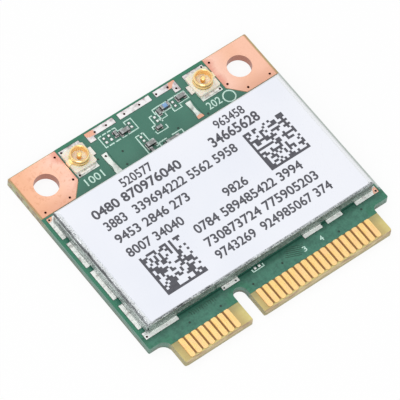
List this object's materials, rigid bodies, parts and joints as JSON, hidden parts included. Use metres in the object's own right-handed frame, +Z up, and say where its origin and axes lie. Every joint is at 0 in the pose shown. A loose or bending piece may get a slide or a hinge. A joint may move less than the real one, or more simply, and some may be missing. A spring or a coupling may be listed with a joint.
{
  "type": "wireless network card",
  "caption": "Half-size plug-in wireless network card with a gold edge connector, a shielded radio, coaxial antenna sockets and plated screw corners.",
  "frame": {"origin": "middle of the board's outline, on the surface that the card lies on", "axes": "+X along the contact edge with the short group of contacts at -X, +Y from the contacts to the screw holes, +Z up from the component side"},
  "size_m": [0.0298, 0.0266, 0.0027],
  "materials": {
    "blue_ferrite": "blue chip coating",
    "can_metal": "lid metal",
    "ceramic": "chip ceramic",
    "copper": "bare copper foil",
    "gold": "gold plate",
    "green_lacquer": "green solder lacquer",
    "laminate": "bare glass-epoxy laminate",
    "mould_black": "moulding compound",
    "paper": "white label stock",
    "shield_tin": "tinned sheet",
    "socket_plastic": "moulded, satin",
    "tin": "solder"
  },
  "bodies": {
    "root": {"amplifier_main_body": "mould_black", "amplifier_main_leads": "tin", "amplifier_second_body": "mould_black", "amplifier_second_leads": "tin", "antenna_filter_body": "ceramic", "antenna_filter_ends": "tin", "antenna_pads_main": "tin", "antenna_pads_second": "tin", "antenna_socket_main_base": "socket_plastic", "antenna_socket_main_pin": "gold", "antenna_socket_main_shell": "gold", "antenna_socket_second_base": "socket_plastic", "antenna_socket_second_pin": "gold", "antenna_socket_second_shell": "gold", "balun_bodies": "ceramic", "balun_ends": "tin", "band_filter_bodies": "ceramic", "band_filter_ends": "tin", "capacitor_bodies": "ceramic", "capacitor_ends": "tin", "chip_lands": "tin", "circuit_board": "laminate", "contacts_bottom_long": "gold", "contacts_bottom_short": "gold", "contacts_top_long": "gold", "contacts_top_short": "gold", "crystal_base": "ceramic", "crystal_leads": "tin", "crystal_lid": "can_metal", "edge_pad_left": "tin", "edge_pad_middle": "tin", "edge_pad_right": "tin", "front_bare_lands": "tin", "ground_pad_left": "copper", "ground_pad_right": "copper", "inductor_body": "blue_ferrite", "inductor_ends": "tin", "inner_capacitor_bodies": "ceramic", "inner_capacitor_ends": "tin", "label": "paper", "memory_chip_body": "mould_black", "memory_chip_leads": "tin", "power_coil_body": "mould_black", "power_coil_ends": "tin", "radio_chip_body": "mould_black", "radio_chip_heat_land": "tin", "radio_chip_leads": "tin", "regulator_body": "mould_black", "regulator_leads": "tin", "shield_can": "shield_tin", "shield_pads_back": "tin", "shield_pads_front": "tin", "shield_pads_left": "tin", "shield_pads_right": "tin", "side_strip_left": "tin", "side_strip_right": "tin", "solder_mask_bottom": "green_lacquer", "solder_mask_top": "green_lacquer"}
  },
  "joints": []
}
